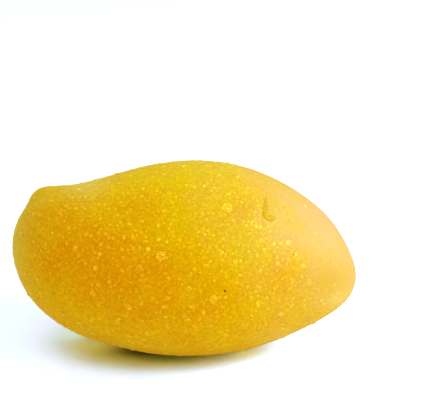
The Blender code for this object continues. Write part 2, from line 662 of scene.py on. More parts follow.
@dataclass
class FruitSkin:
    """Whole skin of the fruit, lying in its resting pose on its flat spot. Sizes in millimetres."""

    half_length: float = 61.5
    edge_radius: float = 34.35
    cheek_radius: float = 32.5
    flat_spot_depth: float = 0.6
    edge_taper: tuple[float, ...] = (1.0, 0.05, -0.06, -0.315)
    cheek_taper: tuple[float, ...] = (1.0, 0.03, -0.06, -0.19)
    core_rise: tuple[float, ...] = (0.0, 1.3, 0.75, -7.2, -2.75)
    wave_height: float = 0.25
    wave_length: float = 20.0
    segments: int = 384
    rings: int = 192
    forms: tuple[LocalForm, ...] = (
        LocalForm("fullness of the tip", (-0.99, 0.0, 0.10), 0.35, 0.5),
        LocalForm("beak", (-0.815, 0.0, 0.58), 0.16, 3.1),
        LocalForm("dip behind the beak", (-0.62, 0.0, 0.80), 0.30, -1.8),
        LocalForm("hump of the belly", (-0.05, 0.0, 1.0), 0.26, 0.6),
        LocalForm("belly shoulder", (0.80, 0.0, 0.60), 0.24, 1.1),
        LocalForm("blunted stem end", (0.99, 0.0, -0.10), 0.35, -2.0),
        LocalForm("stem hollow", (0.975, 0.20, -0.08), 0.16, -1.2),
    )

    def build(self, finish: Material) -> Object:
        """Grow the skin.

        Args:
            finish: Finish of the skin.

        Returns:
            Mesh object of the whole skin, closed, in the frame's place.
        """
        low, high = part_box("fruit")
        middle = (Vector(low) + Vector(high)) / 2.0
        values = {
            "Half Length": self.half_length,
            "Edge Radius": self.edge_radius,
            "Cheek Radius": self.cheek_radius,
            "Lean": -LEAN,
            "Flat Spot Depth": self.flat_spot_depth * MM,
            "Wave Height": self.wave_height,
            "Segments": self.segments,
            "Rings": self.rings,
            "Middle": (middle.x, middle.y, low[2]),
            "Skin": finish,
        }
        skin = grow("mango_skin", bpy.data.meshes.new("seed"), self._tree(values), values)
        declare(skin, Slot.SKIN, "fruit")
        return skin

    def _tree(self, values: dict[str, object]) -> NodeTree:
        """Geometry nodes of the whole rule: oval, taper, core line, local forms, waves and pose.

        Args:
            values: Named inputs of the tree.

        Returns:
            The tree.
        """
        tree, given, result = new_group("mango shape", values)
        ball = add_node(tree, "GeometryNodeMeshUVSphere", {
            "Segments": given["Segments"], "Rings": given["Rings"], "Radius": 1.0,
        })
        here = add_node(tree, "GeometryNodeInputPosition")
        axes = add_node(tree, "ShaderNodeSeparateXYZ", {0: here}).outputs
        tip_ward = add_node(tree, "ShaderNodeMath", {0: axes["X"], 1: -1.0}, operation="MULTIPLY")
        turned = add_node(tree, "ShaderNodeCombineXYZ", {"X": axes["Z"], "Y": axes["Y"], "Z": tip_ward})
        direction = add_node(tree, "ShaderNodeVectorMath", {0: turned}, operation="NORMALIZE")
        point = self._oval(tree, given, direction)
        for form in self.forms:
            point = self._add_form(tree, point, direction, form)
        point = self._add_waves(tree, given, point, direction)
        leaned = add_node(tree, "ShaderNodeVectorRotate", {
            "Vector": point, "Angle": given["Lean"],
        }, rotation_type="X_AXIS")
        scaled = add_node(tree, "ShaderNodeVectorMath", {0: leaned, "Scale": MM}, operation="SCALE")
        shaped = add_node(tree, "GeometryNodeSetPosition", {"Geometry": ball, "Position": scaled})
        smooth = add_node(tree, "GeometryNodeSetShadeSmooth", {0: self._stand(tree, given, shaped)})
        real = add_node(tree, "GeometryNodeRealizeInstances", {0: smooth})
        dressed = add_node(tree, "GeometryNodeSetMaterial", {"Geometry": real, "Material": given["Skin"]})
        fill(result, {"Geometry": dressed})
        return tree

    def _series(self, tree: NodeTree, along: Source, coefficients: tuple[float, ...]) -> Source:
        """Power series in the place along the fruit, worked out from its highest power down.

        Args:
            tree: Node tree.
            along: Place along the fruit, -1 at the tip and 1 at the stem end.
            coefficients: Factors from the lowest power to the highest.

        Returns:
            Source of the value.
        """
        value: Source | float = coefficients[-1]
        for factor in reversed(coefficients[:-1]):
            value = add_node(tree, "ShaderNodeMath", {
                0: value, 1: along, 2: factor,
            }, operation="MULTIPLY_ADD")
        return value

    def _oval(self, tree: NodeTree, given: dict[str, NodeSocket], direction: Source) -> Node:
        """Tapered oval about the curved core line, in millimetres.

        Args:
            tree: Node tree.
            given: Sockets of the tree's inputs.
            direction: Unit direction from the middle of the fruit.

        Returns:
            Node that gives the point.
        """
        parts = add_node(tree, "ShaderNodeSeparateXYZ", {0: direction}).outputs
        along = parts["X"]
        length = add_node(tree, "ShaderNodeMath", {0: given["Half Length"], 1: along}, operation="MULTIPLY")
        cheek = add_node(tree, "ShaderNodeMath", {
            0: given["Cheek Radius"], 1: self._series(tree, along, self.cheek_taper),
        }, operation="MULTIPLY")
        edge = add_node(tree, "ShaderNodeMath", {
            0: given["Edge Radius"], 1: self._series(tree, along, self.edge_taper),
        }, operation="MULTIPLY")
        across = add_node(tree, "ShaderNodeMath", {0: cheek, 1: parts["Y"]}, operation="MULTIPLY")
        rise = add_node(tree, "ShaderNodeMath", {
            0: edge, 1: parts["Z"], 2: self._series(tree, along, self.core_rise),
        }, operation="MULTIPLY_ADD")
        return add_node(tree, "ShaderNodeCombineXYZ", {"X": length, "Y": across, "Z": rise})

    def _add_form(self, tree: NodeTree, point: Source, direction: Source, form: LocalForm) -> Node:
        """Add one local form, which fades as a bell curve over its reach.

        Args:
            tree: Node tree.
            point: Point so far.
            direction: Unit direction from the middle of the fruit.
            form: The rise or dip.

        Returns:
            Node that gives the new point.
        """
        centre = Vector(form.direction).normalized()
        away = add_node(tree, "ShaderNodeVectorMath", {0: direction, 1: centre}, operation="DISTANCE")
        share = add_node(tree, "ShaderNodeMath", {0: away, 1: form.reach}, operation="DIVIDE")
        squared = add_node(tree, "ShaderNodeMath", {0: share, 1: 2.0}, operation="POWER")
        fall = add_node(tree, "ShaderNodeMath", {0: squared, 1: -1.0}, operation="MULTIPLY")
        bell = add_node(tree, "ShaderNodeMath", {0: fall}, operation="EXPONENT", label=form.name)
        lift = add_node(
            tree, "ShaderNodeVectorMath", {0: centre * form.height_mm, "Scale": bell}, operation="SCALE",
        )
        return add_node(tree, "ShaderNodeVectorMath", {0: point, 1: lift}, operation="ADD")

    def _add_waves(self, tree: NodeTree, given: dict[str, NodeSocket], point: Source,
                   direction: Source) -> Node:
        """Add the slow unevenness of grown flesh.

        Args:
            tree: Node tree.
            given: Sockets of the tree's inputs.
            point: Point so far, in millimetres.
            direction: Unit direction from the middle of the fruit.

        Returns:
            Node that gives the new point.
        """
        swell = add_node(
            tree, "ShaderNodeTexNoise", {"Vector": point, "Scale": 1.0 / self.wave_length, "Detail": 1.0},
            normalize=False,
        )
        height = add_node(tree, "ShaderNodeMath", {0: swell, 1: given["Wave Height"]}, operation="MULTIPLY")
        lift = add_node(tree, "ShaderNodeVectorMath", {0: direction, "Scale": height}, operation="SCALE")
        return add_node(tree, "ShaderNodeVectorMath", {0: point, 1: lift}, operation="ADD")

    def _stand(self, tree: NodeTree, given: dict[str, NodeSocket], geometry: Source) -> Node:
        """Put the fruit over the middle of its place and press its lowest part flat on the floor.

        Args:
            tree: Node tree.
            given: Sockets of the tree's inputs.
            geometry: Leaned skin.

        Returns:
            Node that gives the geometry.
        """
        box = add_node(tree, "GeometryNodeBoundBox", {"Geometry": geometry}).outputs
        both = add_node(tree, "ShaderNodeVectorMath", {0: box["Min"], 1: box["Max"]}, operation="ADD")
        centre = add_node(tree, "ShaderNodeVectorMath", {0: both, 1: (0.5, 0.5, 0.0)}, operation="MULTIPLY")
        bottom = add_node(tree, "ShaderNodeVectorMath", {
            0: box["Min"], 1: (0.0, 0.0, 1.0),
        }, operation="MULTIPLY")
        base = add_node(tree, "ShaderNodeVectorMath", {0: centre, 1: bottom}, operation="ADD")
        sunk = add_node(tree, "ShaderNodeCombineXYZ", {"Z": given["Flat Spot Depth"]})
        foot = add_node(tree, "ShaderNodeVectorMath", {0: base, 1: sunk}, operation="ADD")
        shift = add_node(tree, "ShaderNodeVectorMath", {0: given["Middle"], 1: foot}, operation="SUBTRACT")
        moved = add_node(tree, "GeometryNodeSetPosition", {"Geometry": geometry, "Offset": shift})
        here = add_node(tree, "GeometryNodeInputPosition")
        parts = add_node(tree, "ShaderNodeSeparateXYZ", {0: here}).outputs
        above = add_node(tree, "ShaderNodeMath", {0: parts["Z"], 1: 0.0}, operation="MAXIMUM")
        pressed = add_node(tree, "ShaderNodeCombineXYZ", {"X": parts["X"], "Y": parts["Y"], "Z": above})
        return add_node(tree, "GeometryNodeSetPosition", {"Geometry": moved, "Position": pressed})


@dataclass
class StudioCamera:
    """Camera that looks down on the near cheek from about 36 cm."""

    elevation_degrees: float = 22.0
    distance_mm: float = 360.0
    aim_mm: tuple[float, float, float] = (12.6, 0.0, 54.9)
    lens_mm: float = 84.55
    sensor_mm: float = 36.0

    def build(self) -> None:
        """Make the camera and give it to the scene."""
        data = bpy.data.cameras.new("camera")
        data.lens = self.lens_mm
        data.sensor_width = self.sensor_mm
        camera = bpy.data.objects.new("camera", data)
        bpy.context.scene.collection.objects.link(camera)
        camera.location = self.eye()
        camera.rotation_euler = (math.radians(90.0 - self.elevation_degrees), 0.0, 0.0)
        bpy.context.scene.camera = camera

    def eye(self) -> Vector:
        """Place of the camera in metres."""
        return (Vector(self.aim_mm) - self._forward() * self.distance_mm) * MM

    def ray(self, column: float, row: float) -> Vector:
        """Direction in which a pixel of the picture looks.

        Args:
            column: Pixel column from the left.
            row: Pixel row from the top.

        Returns:
            Unit direction.
        """
        tilt = math.radians(self.elevation_degrees)
        up = Vector((0.0, math.sin(tilt), math.cos(tilt)))
        focal = self.lens_mm / self.sensor_mm * PICTURE_WIDTH
        sight = (
            self._forward() * focal
            + ALONG * (column - PICTURE_WIDTH / 2.0)
            - up * (row - PICTURE_HEIGHT / 2.0)
        )
        return sight.normalized()

    def find(self, skin: Object, column: float, row: float) -> tuple[Vector, Vector]:
        """Place on the skin that a pixel shows.

        Args:
            skin: Finished skin.
            column: Pixel column from the left.
            row: Pixel row from the top.

        Returns:
            Point in metres and the outward normal there.
        """
        found, point, normal, _ = skin.ray_cast(self.eye(), self.ray(column, row))
        if not found:
            raise ValueError(f"pixel {column}, {row} doesn't show the skin")
        return point, normal

    def _forward(self) -> Vector:
        """Unit direction of the camera's axis."""
        tilt = math.radians(self.elevation_degrees)
        return Vector((0.0, math.cos(tilt), -math.sin(tilt)))


@dataclass(frozen=True)
class Spot:
    """A place on the skin by its pixel in the picture, with a width in millimetres."""

    column: float
    row: float
    width: float


@dataclass
class Droplets:
    """Beads that geometry nodes set on points of the skin, flattened and half sunk in it.

    Faces whose middle lies under the foot height, in radii of the round bead, get a finish of their
    own. The height for no foot lies under the whole bead.
    """

    name: str
    flatness: float = 0.5
    segments: int = 6
    rings: int = 3
    foot_height: float = 0.0
    no_foot: float = -2.0

    def values(self, finish: Material, foot_finish: Material | None) -> dict[str, object]:
        """Named inputs that every tree of droplets has.

        Args:
            finish: Finish of the bodies.
            foot_finish: Finish of their lowest band, None where it is the same.

        Returns:
            Input name and value.
        """
        return {
            "Flatness": self.flatness,
            "Segments": self.segments,
            "Rings": self.rings,
            "Foot Height": self.foot_height if foot_finish else self.no_foot,
            "Finish": finish,
            "Foot Finish": foot_finish or finish,
        }

    def set_beads(self, tree: NodeTree, given: dict[str, NodeSocket], points: Source, turn: Source,
                  width: Source) -> Node:
        """Put one bead on each point, make them real and dress them.

        Args:
            tree: Geometry node tree.
            given: Sockets of the tree's inputs.
            points: Points on the skin.
            turn: Rotation of each point, with its Z axis out of the skin.
            width: Width of each bead in metres.

        Returns:
            Node that gives the beads.
        """
        radius = add_node(tree, "ShaderNodeMath", {0: width, 1: 0.5}, operation="MULTIPLY")
        ball = add_node(tree, "GeometryNodeMeshUVSphere", {
            "Radius": 1.0, "Segments": given["Segments"], "Rings": given["Rings"],
        })
        here = add_node(tree, "ShaderNodeSeparateXYZ", {0: add_node(tree, "GeometryNodeInputPosition")})
        low = add_node(
            tree, "ShaderNodeMath", {0: here.outputs["Z"], 1: given["Foot Height"]}, operation="LESS_THAN",
        )
        marked = add_node(tree, "GeometryNodeStoreNamedAttribute", {
            "Geometry": ball, "Name": "foot", "Value": low,
        }, data_type="BOOLEAN", domain="FACE")
        squat = add_node(tree, "ShaderNodeCombineXYZ", {"X": 1.0, "Y": 1.0, "Z": given["Flatness"]})
        bead = add_node(tree, "GeometryNodeTransform", {"Geometry": marked, "Scale": squat})
        placed = add_node(tree, "GeometryNodeInstanceOnPoints", {
            "Points": points, "Instance": bead, "Rotation": turn, "Scale": radius,
        })
        real = add_node(tree, "GeometryNodeRealizeInstances", {0: placed})
        smooth = add_node(tree, "GeometryNodeSetShadeSmooth", {0: real})
        dressed = add_node(tree, "GeometryNodeSetMaterial", {
            "Geometry": smooth, "Material": given["Finish"],
        })
        foot = add_node(tree, "GeometryNodeInputNamedAttribute", {"Name": "foot"}, data_type="BOOLEAN")
        return add_node(tree, "GeometryNodeSetMaterial", {
            "Geometry": dressed, "Selection": foot, "Material": given["Foot Finish"],
        })


@dataclass
class ScatteredDroplets(Droplets):
    """Droplets strewn over the whole skin at a least distance from each other. Sizes in millimetres.

    None lie right at the beak or the floor, few on the shoulder and fewer towards the tip. Each range
    says where such a change begins and ends. The packing is the number of points tried for each
    square of the pitch, and a higher rarity makes wide droplets rarer.
    """

    pitch: float = 1.5
    packing: float = 1.6
    least_width: float = 0.45
    greatest_width: float = 0.85
    rarity: float = 1.5
    seed: int = 1
    patch_length: float = 9.0
    patch_range: tuple[float, float] = (0.25, 0.6)
    patchiness: float = 0.65
    beak: tuple[float, float, float] = (-49.5, 4.0, 58.0)
    beak_range: tuple[float, float] = (4.8, 8.0)
    shoulder_way: tuple[float, float, float] = (0.842, 0.167, 0.513)
    shoulder_range: tuple[float, float] = (49.5, 55.5)
    shoulder_share: float = 0.97
    wet_range: tuple[float, float] = (-25.0, 20.0)
    dry_share: float = 0.0
    floor_range: tuple[float, float] = (1.2, 2.0)

    def build(self, skin: Object, finish: Material, foot_finish: Material | None = None) -> Object:
        """Strew the droplets.

        Args:
            skin: Finished skin.
            finish: Finish of the droplets.
            foot_finish: Finish of their lowest band, where it differs.

        Returns:
            One mesh object that holds all the droplets.
        """
        values = self.values(finish, foot_finish) | {
            "Pitch": self.pitch * MM,
            "Least Width": self.least_width * MM,
            "Greatest Width": self.greatest_width * MM,
            "Seed": self.seed,
        }
        tree, given, result = new_group(self.name + " spread", values)
        strewn = add_node(tree, "GeometryNodeDistributePointsOnFaces", {
            "Mesh": given["Mesh"],
            "Distance Min": given["Pitch"],
            "Density Max": self.packing / (self.pitch * MM) ** 2,
            "Density Factor": self._coverage(tree),
            "Seed": given["Seed"],
        }, distribute_method="POISSON").outputs
        chance = add_node(tree, "FunctionNodeRandomValue", {
            "Min": 0.0, "Max": 1.0, "Seed": given["Seed"],
        }, data_type="FLOAT")
        rare = add_node(tree, "ShaderNodeMath", {0: chance, 1: self.rarity}, operation="POWER")
        width = add_node(tree, "ShaderNodeMapRange", {
            "Value": rare, "To Min": given["Least Width"], "To Max": given["Greatest Width"],
        })
        fill(result, {
            "Geometry": self.set_beads(tree, given, strewn["Points"], strewn["Rotation"], width),
        })
        piece = grow(self.name, skin.data.copy(), tree, values)
        declare(piece, Slot.SKIN)
        return piece

    def _coverage(self, tree: NodeTree) -> Source:
        """Share of the points that is kept at each place.

        Args:
            tree: Geometry node tree.

        Returns:
            Source of a value from 0 to 1.
        """
        here = add_node(tree, "GeometryNodeInputPosition")
        patches = add_node(tree, "ShaderNodeTexNoise", {
            "Vector": here, "Scale": 1.0 / (self.patch_length * MM), "Detail": 1.0,
        })
        from_beak = add_node(
            tree, "ShaderNodeVectorMath", {0: here, 1: Vector(self.beak) * MM}, operation="DISTANCE",
        )
        shoulder_ward = add_node(
            tree, "ShaderNodeVectorMath", {0: here, 1: Vector(self.shoulder_way)}, operation="DOT_PRODUCT",
        )
        parts = add_node(tree, "ShaderNodeSeparateXYZ", {0: here}).outputs
        changes = (
            (patches, self.patch_range, (1.0 - self.patchiness, 1.0), "SMOOTHSTEP"),
            (from_beak, metres(self.beak_range), (0.0, 1.0), "SMOOTHSTEP"),
            (shoulder_ward, metres(self.shoulder_range), (1.0, 1.0 - self.shoulder_share), "SMOOTHSTEP"),
            (parts["X"], metres(self.wet_range), (1.0 - self.dry_share, 1.0), "LINEAR"),
            (parts["Z"], metres(self.floor_range), (0.0, 1.0), "LINEAR"),
        )
        share: Source | float = 1.0
        for value, (start, end), (first, last), way in changes:
            kept = add_node(tree, "ShaderNodeMapRange", {
                "Value": value, "From Min": start, "From Max": end, "To Min": first, "To Max": last,
            }, interpolation_type=way)
            share = add_node(tree, "ShaderNodeMath", {0: share, 1: kept}, operation="MULTIPLY")
        return share


@dataclass
class PlacedDroplets(Droplets):
    """Beads or specks that lie where the picture shows them."""

    spots: tuple[Spot, ...] = ()

    def build(self, skin: Object, camera: StudioCamera, finish: Material,
              foot_finish: Material | None = None) -> Object:
        """Set each spot on the skin that its pixel shows, turned and sized by attributes of its point.

        Args:
            skin: Finished skin.
            camera: Camera whose pixels the spots name.
            finish: Finish of the bodies.
            foot_finish: Finish of their lowest band, where it differs.

        Returns:
            One mesh object that holds them all.
        """
        hits = [camera.find(skin, spot.column, spot.row) for spot in self.spots]
        mesh = bpy.data.meshes.new(self.name)
        mesh.from_pydata([point for point, _ in hits], [], [])
        outward = mesh.attributes.new("outward", "FLOAT_VECTOR", "POINT")
        outward.data.foreach_set("vector", [part for _, normal in hits for part in normal])
        width = mesh.attributes.new("width", "FLOAT", "POINT")
        width.data.foreach_set("value", [spot.width * MM for spot in self.spots])
        values = self.values(finish, foot_finish)
        piece = grow(self.name, mesh, self._tree(values), values)
        declare(piece, Slot.SKIN)
        return piece

    def _tree(self, values: dict[str, object]) -> NodeTree:
        """Geometry nodes that set a bead on each vertex.

        Args:
            values: Named inputs of the tree.

        Returns:
            The tree.
        """
        tree, given, result = new_group(self.name + " placing", values)
        outward = add_node(
            tree, "GeometryNodeInputNamedAttribute", {"Name": "outward"}, data_type="FLOAT_VECTOR",
        )
        width = add_node(tree, "GeometryNodeInputNamedAttribute", {"Name": "width"}, data_type="FLOAT")
        turn = add_node(tree, "FunctionNodeAlignRotationToVector", {"Vector": outward}, axis="Z")
        points = add_node(tree, "GeometryNodeMeshToPoints", {0: given["Mesh"]})
        fill(result, {"Geometry": self.set_beads(tree, given, points, turn, width)})
        return tree


@dataclass
class WaterRun:
    """A short run of water that has slid down the shoulder and hooked to one side.

    The side of its section numbered outer_side lies outside the hook and is darker, as painted shade.
    """

    path: tuple[Spot, ...] = (
        Spot(266.2, 197.0, 0.5), Spot(265.6, 203.0, 1.2), Spot(265.3, 209.0, 1.9), Spot(265.6, 213.8, 2.1),
        Spot(268.0, 217.4, 2.1), Spot(272.2, 218.0, 1.9), Spot(276.0, 217.0, 1.0),
    )
    height_share: float = 0.24
    least_width: float = 0.12
    end_bluntness: int = 8
    steps: int = 40
    sides: int = 12
    outer_side: int = 5

    def build(self, skin: Object, camera: StudioCamera, finish: Material, shaded_edge_finish: Material) -> Object:
        """Loft the run along its path on the skin.

        Args:
            skin: Finished skin.
            camera: Camera whose pixels the path names.
            finish: Finish of the water.
            shaded_edge_finish: Finish of its outer side, darkened as painted shade.

        Returns:
            Closed mesh object of the run.
        """
        bm = bmesh.new()
        stations = [self._station(index / (self.steps - 1)) for index in range(self.steps)]
        found = [(*camera.find(skin, column, row), width) for column, row, width in stations]
        rings = []
        for index, (point, normal, width) in enumerate(found):
            ahead = found[min(index + 1, self.steps - 1)][0] - found[max(index - 1, 0)][0]
            side = normal.cross(ahead).normalized()
            rings.append([bm.verts.new(self._ring_point(point, normal, side, width, turn))
                          for turn in range(self.sides)])
        for ring, following in zip(rings, rings[1:]):
            bridge(bm, ring, following)[self.outer_side].material_index = 1
        bm.faces.new(reversed(rings[0]))
        bm.faces.new(rings[-1])
        bmesh.ops.recalc_face_normals(bm, faces=bm.faces)
        piece = keep_mesh("water_run", bm, finish, shaded_edge_finish)
        piece.data.shade_smooth()
        declare(piece, Slot.SKIN)
        return piece

    def _station(self, share: float) -> Vector:
        """Place at a share of the path, on a smooth curve through its points.

        Args:
            share: Place along the path from 0 to 1.

        Returns:
            Column, row and width in millimetres.
        """
        corners = [Vector((spot.column, spot.row, spot.width)) for spot in self.path]
        spans = len(corners) - 1
        place = min(share * spans, spans - 1e-6)
        start = int(place)
        local = place - start
        before, first, second, after = (corners[min(max(start + step, 0), spans)] for step in (-1, 0, 1, 2))
        curve = (
            first
            + (second - before) * (0.5 * local)
            + (before - first * 2.5 + second * 2.0 - after * 0.5) * local ** 2
            + (first * 1.5 - before * 0.5 - second * 1.5 + after * 0.5) * local ** 3
        )
        end_round = math.sqrt(max(0.0, 1.0 - (2.0 * share - 1.0) ** self.end_bluntness))
        curve.z = max(curve.z * end_round, self.least_width)
        return curve

    def _ring_point(self, point: Vector, normal: Vector, side: Vector, width: float, turn: int) -> Vector:
        """Point of the run's rounded section.

        Args:
            point: Place on the skin.
            normal: Outward normal there.
            side: Unit direction across the run.
            width: Width in millimetres.
            turn: Number of the point around the section.

        Returns:
            Place in metres.
        """
        angle = 2.0 * math.pi * turn / self.sides
        across = side * (math.cos(angle) * width / 2.0 * MM)
        up = normal * (math.sin(angle) * width * self.height_share * MM)
        return point + across + up


@dataclass(frozen=True)
class Ripple:
    """A wave round the stub: how often it turns, where it starts in radians, and its height."""

    count: float
    start: float
    height: float

    def at(self, angle: float) -> float:
        """Height of the wave at an angle in radians."""
        return self.height * math.sin(self.count * angle + self.start)


@dataclass
class StalkStub:
    """Dry stub of the stalk: a collar of cork at its foot, ribbed sides and a broken, sunken top.

    The profile gives each ring's radius and its level over the skin, in millimetres. From the band
    numbered first_broken_band on, the wood is broken.
    """

    profile: tuple[tuple[float, float], ...] = (
        (0.0, -1.0), (3.0, -1.0), (3.7, -0.35), (3.589, 0.05), (3.12, 0.25), (2.79, 0.6),
        (2.43, 1.125), (2.25, 1.5), (1.935, 1.56), (1.35, 1.29), (0.675, 1.2), (0.0, 1.23),
    )
    first_broken_band: int = 7
    uneven_above: float = 1.05
    sides: int = 72
    ribs: tuple[Ripple, ...] = (
        Ripple(11.0, 0.0, 0.35), Ripple(5.0, 1.3, 0.6), Ripple(2.0, 0.5, 0.5), Ripple(7.0, 2.1, 0.35),
    )
    rib_depth: float = 0.16
    full_rib_radius: float = 3.0
    breaks: tuple[Ripple, ...] = (Ripple(3.0, 0.4, 0.12), Ripple(8.0, 2.0, 0.08))

    def build(self, skin: Object, bark: Material, broken_wood: Material) -> Object:
        """Turn the stub about its own axis and stand it in the hollow of the skin.

        Args:
            skin: Finished skin, whose hollow carries the stub.
            bark: Finish of the collar and the sides.
            broken_wood: Finish of the sunken top.

        Returns:
            Closed mesh object in the place of the solid stub.
        """
        low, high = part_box("stem_stub")
        middle = (Vector(low) + Vector(high)) / 2.0
        _, seat, normal, _ = skin.closest_point_on_mesh(middle)
        place = Matrix.Translation(seat) @ normal.to_track_quat("Z", "Y").to_matrix().to_4x4()
        bm = bmesh.new()
        rings = [self._ring(bm, radius, level, place) for radius, level in self.profile]
        for band, (ring, following) in enumerate(zip(rings, rings[1:])):
            for face in bridge(bm, ring, following):
                face.material_index = int(band >= self.first_broken_band)
        bmesh.ops.recalc_face_normals(bm, faces=bm.faces)
        stub = keep_mesh("stalk_stub", bm, bark, broken_wood)
        stub.data.shade_smooth()
        declare(stub, Slot.STALK, "stem_stub")
        return stub

    def _ring(self, bm: bmesh.types.BMesh, radius: float, level: float, place: Matrix) -> list:
        """Vertices of one level of the stub, ribbed and uneven, or its single pole vertex.

        Args:
            bm: Mesh being built.
            radius: Radius in millimetres, 0 at a pole.
            level: Height over the skin in millimetres.
            place: Placement of the stub in metres.

        Returns:
            Vertices of the ring.
        """
        ring = []
        for number in range(self.sides if radius else 1):
            angle = 2.0 * math.pi * number / self.sides
            rib = sum(ripple.at(angle) for ripple in self.ribs)
            wide = radius + self.rib_depth * rib * radius / self.full_rib_radius
            uneven = radius > 0.0 and level > self.uneven_above
            rise = level + (sum(ripple.at(angle) for ripple in self.breaks) if uneven else 0.0)
            ring.append(bm.verts.new(place @ Vector((
                math.cos(angle) * wide * MM, math.sin(angle) * wide * MM, rise * MM,
            ))))
        return ring


@dataclass
class Studio:
    """White floor with a painted shadow round the contact, a large soft lamp behind and to the right, and
    an even pale surround.

    The floor's painted shade follows the distance from the contact, in reaches of the oval of the shade,
    then the place along the fruit, then soft fields of painted light where light gets under the fruit
    and of painted shade where shade is deepest.
    """

    floor_metres: float = 6.0
    floor_exposure: float = 4.0
    floor_roughness: float = 0.2
    floor_index_of_refraction: float = 1.6
    # Painted shadow: an oval round the contact, with tones by the distance in its reaches
    shade_middle_mm: tuple[float, float] = (-9.0, 0.0)
    shade_reach_mm: tuple[float, float] = (36.0, 19.3)
    shade_span: float = 1.5
    shade_tones: tuple[tuple[float, str], ...] = (
        (0.45, "#70702e"), (0.55, "#848646"), (0.65, "#999e64"), (0.78, "#a7ac84"),
        (0.90, "#acb5aa"), (1.02, "#adbdd3"), (1.12, "#b5c8ef"), (1.30, "#bdcffd"),
    )
    # Painted shade along the fruit: darker towards the tip, lighter and bluer towards the stem end
    side_shade_span_mm: tuple[float, float] = (-50.0, 20.0)
    side_shade_tones: tuple[tuple[float, str], ...] = ((0.0, "#d3cfc2"), (0.5, "#d4d5d5"), (1.0, "#e8eefc"))
    # Painted pools of light and painted shade on the floor round the contact
    shade_tinges: tuple[Tinge, ...] = (
        Tinge("light that reaches under the tip", "#a8ac6c", (-29.0, -2.5), (7.5, 5.0), 0.74),
        Tinge("painted light on the floor behind the tip", "#94b0c0", (-42.0, 5.0), (6.0, 5.0), 0.8),
        Tinge("yellow light beside the contact", "#adbda2", (21.0, -7.0), (6.0, 5.0), 0.75),
        Tinge("shade in front of the contact", "#5c6638", (-6.0, -12.0), (10.0, 3.4), 0.6),
        Tinge("painted dark shadow at the edge of the contact", "#3c3c0a", (-15.0, -7.5), (6.5, 3.0), 0.72),
    )
    bounce_colour: str = "#fff4dc"
    surround_colour: str = "#ffffff"
    surround_strength: float = 0.755
    key_watts: float = 5.25
    key_size_metres: float = 0.9
    key_place: tuple[float, float, float] = (0.96, -0.27, 0.57)
    spark_watts: float = 11.0
    spark_size_metres: float = 0.55
    spark_place: tuple[float, float, float] = (0.40, -0.72, 0.78)
    tone_gamma: float = 0.75

    def build(self) -> None:
        """Make the floor, the lamp, the surround and the picture's tone."""
        bm = bmesh.new()
        bmesh.ops.create_grid(bm, x_segments=2, y_segments=2, size=self.floor_metres / 2.0)
        floor = keep_mesh("floor", bm, self._floor_finish())
        self._lamp("key", self.key_watts, self.key_size_metres, self.key_place)
        world = bpy.data.worlds.new("pale_surround")
        world.use_nodes = True
        fill(world.node_tree.nodes["Background"], {
            "Color": linear(self.surround_colour), "Strength": self.surround_strength,
        })
        bpy.context.scene.world = world
        bpy.context.scene.view_settings.view_transform = "Standard"
        bpy.context.scene.view_settings.gamma = self.tone_gamma

    def _floor_finish(self) -> Material:
        """White floor in satin paint, which reads as bright paper with a painted shade round the contact.

        Returns:
            The material, which throws only a faint warm light back on the fruit.
        """
        material, tree, shader = new_material("white_studio_floor_with_painted_shadow")
        seen = add_node(tree, "ShaderNodeLightPath").outputs["Is Camera Ray"]
        place = add_node(tree, "ShaderNodeTexCoord").outputs["Object"]
        middle = Vector((*self.shade_middle_mm, 0.0)) * MM
        reach = Vector((*self.shade_reach_mm, 1.0)) * MM
        from_middle = add_node(tree, "ShaderNodeVectorMath", {0: place, 1: middle}, operation="SUBTRACT")
        in_reaches = add_node(tree, "ShaderNodeVectorMath", {0: from_middle, 1: reach}, operation="DIVIDE")
        away = add_node(tree, "ShaderNodeVectorMath", {0: in_reaches}, operation="LENGTH")
        along = add_node(tree, "ShaderNodeSeparateXYZ", {0: place})
        # Painted shadow by the distance from the contact, times painted shade along the fruit
        shade = [(reaches / self.shade_span, linear(colour)) for reaches, colour in self.shade_tones]
        sides = [(share, linear(colour)) for share, colour in self.side_shade_tones]
        tone = add_node(tree, "ShaderNodeMix", {
            "Factor": 1.0,
            "A": colour_over(tree, away, (0.0, self.shade_span), shade),
            "B": colour_over(tree, along, metres(self.side_shade_span_mm), sides),
        }, data_type="RGBA", blend_type="MULTIPLY")
        # Painted pools of light and painted shade, laid over the painted shadow
        toned = lay_tinges(tree, tone, place, Vector((0.0, 1.0, 0.0)), self.shade_tinges)
        exposed = add_node(
            tree, "ShaderNodeVectorMath", {0: toned, "Scale": self.floor_exposure}, operation="SCALE",
        )
        # The camera sees the floor with its painted shadow; other rays meet a plain warm floor
        fill(shader, {
            "Base Color": add_node(tree, "ShaderNodeMix", {
                "Factor": seen, "A": linear(self.bounce_colour), "B": exposed,
            }, data_type="RGBA"),
            "Roughness": self.floor_roughness,
            "IOR": self.floor_index_of_refraction,
        })
        return material

    def light_water(self, drops: list[Object]) -> None:
        """Hang the lamp whose mirror image shows in the larger drops, and let it touch nothing else.

        Args:
            drops: Pieces of water.
        """
        spark = self._lamp("spark", self.spark_watts, self.spark_size_metres, self.spark_place)
        spark.visible_diffuse = False
        lit = bpy.data.collections.new("lit_by_spark")
        for piece in drops:
            lit.objects.link(piece)
        spark.light_linking.receiver_collection = lit

    def _lamp(self, name: str, watts: float, size: float, place: tuple[float, float, float]) -> Object:
        """Square lamp that faces the fruit.

        Args:
            name: Name of the lamp.
            watts: Power.
            size: Length of its side in metres.
            place: Place in metres.

        Returns:
            Lamp object.
        """
        data = bpy.data.lights.new(name, "AREA")
        data.shape = "SQUARE"
        data.size = size
        data.energy = watts
        lamp = bpy.data.objects.new(name, data)
        bpy.context.scene.collection.objects.link(lamp)
        lamp.location = place
        lamp.rotation_euler = (-Vector(place)).to_track_quat("-Z", "Y").to_euler()
        return lamp


